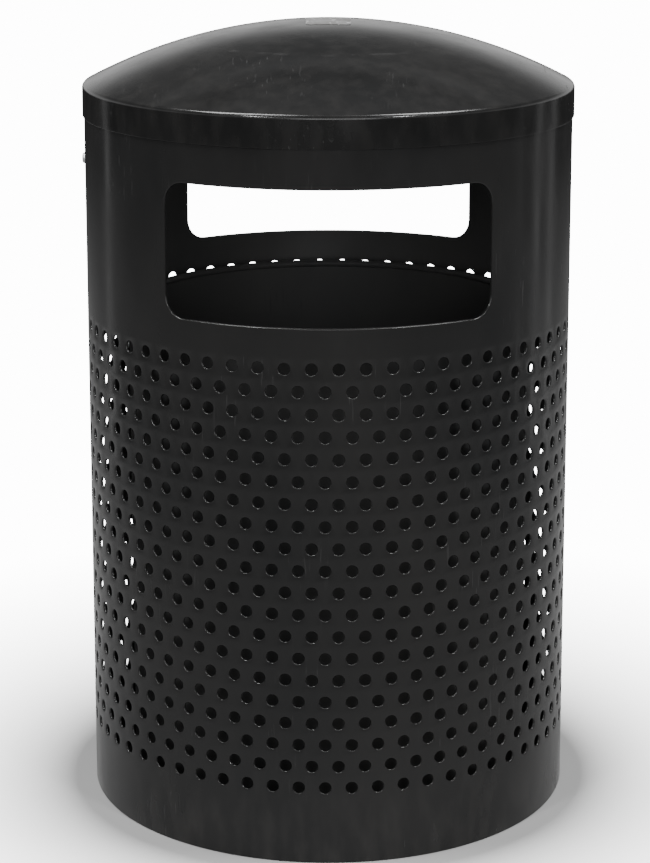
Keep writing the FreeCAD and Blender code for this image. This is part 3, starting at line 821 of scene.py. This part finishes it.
    def opening_outline(self, centre: float, half: float, across: int, up: int) -> Object:
        """The edge of one opening, as a loop in the flat sheet.

        Args:
            centre: The opening's middle along the sheet.
            half: Half of its width along the sheet.
            across: How many edges each straight upper or lower side has.
            up: How many edges each straight upright side has.

        Returns:
            The loop of edges.
        """
        clear_selection()
        bpy.ops.mesh.primitive_plane_add(size=1)
        outline = take_new("opening_outline")
        outline.scale = (2 * half, self.opening_height, 1)
        outline.rotation_euler = (math.pi / 2, 0, 0)
        outline.location = (centre, 0, self.opening_bottom + self.opening_height / 2)
        bpy.ops.object.transform_apply(location=True, rotation=True, scale=True)
        low, high = self.opening_bottom, self.opening_bottom + self.opening_height
        near = MERGE_GAP
        with editing(outline):
            bpy.ops.mesh.select_all(action="SELECT")
            bpy.ops.mesh.bevel(
                offset=self.opening_corner, segments=self.corner_steps, affect="VERTICES"
            )
            for level in (low, high):
                pick(outline, "EDGE", lambda co: abs(co.z - level) < near)
                bpy.ops.mesh.subdivide(number_cuts=across - 1)
            for side in (centre - half, centre + half):
                pick(outline, "EDGE", lambda co: abs(co.x - side) < near)
                bpy.ops.mesh.subdivide(number_cuts=up - 1)
            bpy.ops.mesh.select_all(action="SELECT")
            bpy.ops.mesh.delete(type="ONLY_FACE")
        return outline

    def shell(self, finishes: Finishes) -> Object:
        """Rolls the flat sheet into the tube, and gives it thickness, finishes and soft edges.

        Args:
            finishes: The bin's materials.

        Returns:
            The tube.
        """
        half_turn = math.pi * self.radius
        bottom = self.top_row - (self.rows - 0.5) * self.row_pitch
        upper = self.plain_band("upper_band", self.band_bottom, self.height, self.upper_rows, 0.0)
        for centre in (0.0, half_turn):
            self.cut_opening(upper, centre)
        lower = self.plain_band("lower_band", 0.0, bottom, 4, self.cell / 2)
        tube = join([self.perforation(), upper, lower], "casing_sheet")
        reach = [corner.co.x for corner in tube.data.vertices]
        apply_modifier(
            tube, "SIMPLE_DEFORM", deform_method="BEND", deform_axis="Z",
            angle=(max(reach) - min(reach)) / self.radius,
        )
        with editing(tube):
            bpy.ops.mesh.select_all(action="SELECT")
            bpy.ops.transform.translate(value=(0, -self.radius, 0))
            bpy.ops.mesh.remove_doubles(threshold=MERGE_GAP)
            bpy.ops.mesh.normals_make_consistent(inside=False)
        dress(tube, finishes.casing)
        # The inner face takes the lightened coat, which is painted light for the shaded inside.
        tube.data.materials.append(finishes.casing_inner_painted_light)
        apply_modifier(
            tube, "SOLIDIFY", thickness=self.wall, offset=-1.0, use_rim=True, material_offset=1
        )
        plain = self.band_bottom - MERGE_GAP
        self.soften(tube, self.hole_edge, 1, lambda co: co.z < plain)
        self.soften(tube, self.opening_edge, 3, lambda co: co.z > plain)
        smooth(tube, 60.0)
        return tube

    def soften(
        self, tube: Object, width: float, steps: int, test: Callable[[Vector], bool]
    ) -> None:
        """Rounds the outer cut edges of the tube that pass a test.

        Args:
            tube: The tube, with its thickness.
            width: How wide the rounding is.
            steps: How many faces it has across.
            test: Says whether a corner's place belongs to the edges.
        """
        outside = self.radius - self.wall / 4
        with editing(tube):
            bpy.ops.mesh.select_mode(type="EDGE")
            bpy.ops.mesh.edges_select_sharp(sharpness=math.radians(50))
            bpy.ops.object.mode_set(mode="OBJECT")
            corners = tube.data.vertices
            for edge in tube.data.edges:
                spots = [corners[v].co for v in edge.vertices]
                outer = all(math.hypot(s.x, s.y) > outside and test(s) for s in spots)
                edge.select = edge.select and outer
            bpy.ops.object.mode_set(mode="EDIT")
            bpy.ops.mesh.bevel(offset=width, segments=steps, affect="EDGES")

    def build(self, finishes: Finishes) -> None:
        """Makes the shell and dresses the casing's nodes.

        Args:
            finishes: The bin's materials.
        """
        tube = self.shell(finishes)
        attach(tube, "casing")
        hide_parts("casing_front", "casing_rear")
        for node in ("base_plate", "liner_locators"):
            dress(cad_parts[node], finishes.base)
        log.info("casing: %d faces", len(tube.data.polygons))


@dataclass
class Lid:
    """Spun dome with its skirt, and the seat ring and legs under it."""

    radius: float = 0.2315
    wall: float = 0.0012
    skirt_bottom: float = 0.6564
    skirt: float = 0.0287
    rise: float = 0.058
    bend: float = 0.005
    segments: int = 240
    bend_steps: int = 7
    dome_steps: int = 30
    edge_round: float = 0.0004

    def rings(self) -> list[Ring]:
        """The outer profile, from the skirt's edge up to the top of the dome."""
        shoulder = self.skirt_bottom + self.skirt
        sphere = (self.radius**2 + self.rise**2) / (2 * self.rise)
        centre = shoulder + self.rise - sphere
        across = self.radius - self.bend
        up = math.sqrt((sphere - self.bend) ** 2 - across**2)
        meet = math.atan2(up, across)
        low, lifted = self.skirt_bottom, self.skirt_bottom + self.skirt / 3
        rings = [(self.radius, low), (self.radius, lifted)]
        for step in range(self.bend_steps + 1):
            turn = meet * step / self.bend_steps
            rings.append(
                (across + self.bend * math.cos(turn), centre + up + self.bend * math.sin(turn))
            )
        for step in range(1, self.dome_steps):
            turn = meet + (math.pi / 2 - meet) * step / self.dome_steps
            rings.append((sphere * math.cos(turn), centre + sphere * math.sin(turn)))
        return rings

    def dome(self) -> Object:
        """The spun dome, with its thickness and the soft lower edge of its skirt."""
        piece = lathe("lid_cover", self.rings(), self.segments, closed_top=True)
        top = self.skirt_bottom + self.skirt + self.rise
        with editing(piece):
            high = max(corner.co.z for corner in piece.data.vertices)
            pick(piece, "VERT", lambda co: math.hypot(co.x, co.y) < MERGE_GAP)
            bpy.ops.transform.translate(value=(0, 0, top - high))
        apply_modifier(piece, "SOLIDIFY", thickness=self.wall, offset=-1.0, use_rim=True)
        edge_height = self.skirt_bottom + MERGE_GAP
        with editing(piece):
            pick(piece, "EDGE", lambda co: co.z < edge_height)
            bpy.ops.mesh.select_mode(type="EDGE")
            bpy.ops.mesh.bevel(offset=self.edge_round, segments=2, affect="EDGES")
        smooth(piece, 50.0)
        return piece

    def build(self, finishes: Finishes) -> None:
        """Makes the dome and dresses the lid's nodes.

        Args:
            finishes: The bin's materials.
        """
        cover = self.dome()
        # The dome's darker coat is painted shade.
        dress(cover, finishes.dome)
        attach(cover, "lid")
        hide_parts("lid_dome")
        for node in ("lid_seat_ring", "lid_leg_left", "lid_leg_right"):
            dress(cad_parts[node], finishes.fittings)
        dress(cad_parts["dome_label"], finishes.label)
        log.info("lid: %d faces", len(cover.data.polygons))


@dataclass
class ScrewSet:
    """The screw that clamps the lid, with its spacer, washer and nut."""

    nodes: tuple[str, ...] = ("lid_screw", "lid_screw_spacer", "lid_screw_washer", "lid_screw_nut")

    def build(self, finishes: Finishes) -> None:
        """Dresses the screw's nodes.

        Args:
            finishes: The bin's materials.
        """
        for node in self.nodes:
            dress(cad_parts[node], finishes.zinc)
        log.info("screw set: %d nodes", len(self.nodes))


@dataclass
class Liner:
    """Loose drum with its rolled rim, clips, rivets and drop handles."""

    painted: tuple[str, ...] = ("liner_wall", "liner_floor", "liner_rim")
    plated: tuple[str, ...] = (
        "handle_clip_left", "handle_clip_right", "handle_rivets_left", "handle_rivets_right",
    )
    wires: tuple[str, ...] = ("liner_rim_wire", "liner_handle_left", "liner_handle_right")
    seam_radius: float = 0.1907
    seam_height: float = 0.46705
    seam_round: float = 0.0006

    def build(self, finishes: Finishes) -> None:
        """Dresses the liner's nodes.

        Args:
            finishes: The bin's materials.
        """
        # The liner's lightened paint is partly painted light.
        for nodes, finish in (
            (self.painted, finishes.liner), (self.plated, finishes.zinc),
            (self.wires, finishes.wire),
        ):
            for node in nodes:
                dress(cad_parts[node], finish)
        self.seam(finishes)
        log.info("liner: %d nodes", len(self.painted + self.plated + self.wires))


    def seam(self, finishes: Finishes) -> None:
        """Adds the sealing bead between the drum's wall and its rolled rim.

        Args:
            finishes: The bin's materials.
        """
        clear_selection()
        bpy.ops.mesh.primitive_torus_add(
            major_radius=self.seam_radius, minor_radius=self.seam_round, major_segments=180,
            minor_segments=8, location=(0.0, 0.0, self.seam_height),
        )
        bead = take_new("rim_seam")
        smooth(bead, 60.0)
        # The bead takes the liner's lightened paint, partly painted light.
        dress(bead, finishes.liner)
        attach(bead, "liner")


# ---------------------------------------------------------------- studio


@dataclass(frozen=True)
class Softbox:
    """A rectangular light that faces a point."""

    name: str
    place: tuple[float, float, float]
    target: tuple[float, float, float]
    width: float
    length: float
    radiance: float

    def build(self) -> None:
        """Adds the light to the scene."""
        data = bpy.data.lights.new(self.name, "AREA")
        data.shape = "RECTANGLE"
        data.size, data.size_y = self.width, self.length
        data.energy = self.radiance * math.pi * self.width * self.length
        lamp = bpy.data.objects.new(self.name, data)
        bpy.context.scene.collection.objects.link(lamp)
        lamp.location = self.place
        away = Vector(self.place) - Vector(self.target)
        lamp.rotation_euler = away.to_track_quat("Z", "Y").to_euler()


@dataclass
class Studio:
    """Floor, surroundings, lights and camera."""

    camera_distance: float = 2.379
    camera_height: float = 0.999
    camera_pitch: float = 11.91
    lens: float = 105.87
    shift: tuple[float, float] = (-0.0039, -0.18)
    sky_low: float = 0.95
    sky_middle: float = 0.15
    sky_line: float = 0.55
    sky_high: float = 0.1
    sky_patch: float = 0.34
    ground_near: float = 0.6
    ground_far: float = 0.025
    backdrop: float = 14.0
    floor_radius: float = 3.0
    light_target: tuple[float, float, float] = (0.0, 0.0, 0.3)
    front_target: tuple[float, float, float] = (0.0, 0.0, 0.5)
    spark_target: tuple[float, float, float] = (0.0, 0.0, 0.4)

    def floor(self, finishes: Finishes) -> None:
        """Adds the pale floor.

        Args:
            finishes: The bin's materials.
        """
        clear_selection()
        bpy.ops.mesh.primitive_circle_add(vertices=96, radius=self.floor_radius, fill_type="NGON")
        plane = take_new("floor")
        dress(plane, finishes.floor)

    def surroundings(self) -> None:
        """A white backdrop, and bands of grey from ground to ceiling for what the bin reflects."""
        world = bpy.data.worlds.new("studio")
        bpy.context.scene.world = world
        world.use_nodes = True
        tree = world.node_tree
        tree.nodes.clear()
        direction = tree.nodes.new("ShaderNodeTexCoord")
        split = tree.nodes.new("ShaderNodeSeparateXYZ")
        tree.links.new(direction.outputs["Generated"], split.inputs[0])
        ramp = tree.nodes.new("ShaderNodeValToRGB")
        halved = tree.nodes.new("ShaderNodeMath")
        halved.operation = "MULTIPLY_ADD"
        tree.links.new(split.outputs["Z"], halved.inputs[0])
        halved.inputs[1].default_value = 0.5
        halved.inputs[2].default_value = 0.5
        tree.links.new(halved.outputs[0], ramp.inputs["Fac"])
        stops = (
            (0.345, self.ground_near), (0.42, self.ground_far), (0.5, self.ground_far),
            (0.52, self.sky_low), (0.605, self.sky_low), (0.70, self.sky_middle),
            (0.815, self.sky_middle), (0.833, self.sky_line), (0.846, self.sky_high),
            (0.88, self.sky_high), (0.91, self.sky_patch), (1.0, self.sky_middle),
        )
        points = ramp.color_ramp.elements
        while len(points) < len(stops):
            points.new(0.5)
        for point, (place, level) in zip(points, stops):
            point.position = place
            point.color = grey(level)
        seen = tree.nodes.new("ShaderNodeLightPath")
        mixed = tree.nodes.new("ShaderNodeMix")
        mixed.data_type = "RGBA"
        tree.links.new(seen.outputs["Is Camera Ray"], mixed.inputs[0])
        tree.links.new(ramp.outputs["Color"], mixed.inputs[6])
        mixed.inputs[7].default_value = grey(self.backdrop)
        background = tree.nodes.new("ShaderNodeBackground")
        tree.links.new(mixed.outputs[2], background.inputs["Color"])
        output = tree.nodes.new("ShaderNodeOutputWorld")
        tree.links.new(background.outputs[0], output.inputs["Surface"])

    def lights(self) -> None:
        """Adds the overhead boxes, the front fill, two small sparks and the strips at the sides."""
        middle, front, spark = self.light_target, self.front_target, self.spark_target
        boxes = (
            Softbox("box_left", (-0.95, -0.25, 2.7), middle, 0.7, 1.2, 28.0),
            Softbox("box_right", (1.1, -0.25, 2.7), middle, 0.7, 1.2, 28.0),
            Softbox("fill_front", (0.2, -3.6, 1.45), front, 2.4, 1.4, 5.0),
            Softbox("spark_left", (-1.5, -2.1, 2.3), spark, 0.26, 0.26, 160.0),
            Softbox("spark_right", (1.5, -2.1, 2.3), spark, 0.26, 0.26, 160.0),
            Softbox("strip_right", (1.56, 0.49, 0.42), middle, 0.10, 1.0, 1.0),
            Softbox("strip_right_back", (1.37, 0.8, 0.42), middle, 0.07, 1.0, 1.0),
            Softbox("strip_right_front", (1.67, 0.1, 0.42), middle, 0.05, 1.0, 0.7),
            Softbox("strip_left", (-1.4, 0.75, 0.42), middle, 0.08, 1.0, 0.9),
        )
        for box in boxes:
            box.build()

    def camera(self) -> None:
        """Adds the camera."""
        data = bpy.data.cameras.new("camera")
        data.lens = self.lens
        data.sensor_width = 36.0
        data.shift_x, data.shift_y = self.shift
        camera = bpy.data.objects.new("camera", data)
        bpy.context.scene.collection.objects.link(camera)
        camera.location = (0.0, -self.camera_distance, self.camera_height)
        camera.rotation_euler = (math.radians(90.0 - self.camera_pitch), 0.0, 0.0)
        bpy.context.scene.camera = camera

    def build(self, finishes: Finishes) -> None:
        """Builds the whole studio.

        Args:
            finishes: The bin's materials.
        """
        self.camera()
        self.floor(finishes)
        self.surroundings()
        self.lights()
        log.info("studio: camera, floor and lights")


def main() -> None:
    logging.basicConfig(level=logging.INFO, format="%(message)s")
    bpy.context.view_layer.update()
    finishes = Finishes()
    Studio().build(finishes)
    for part in (Casing(), Lid(), ScrewSet(), Liner()):
        part.build(finishes)


if __name__ == "__main__":
    main()
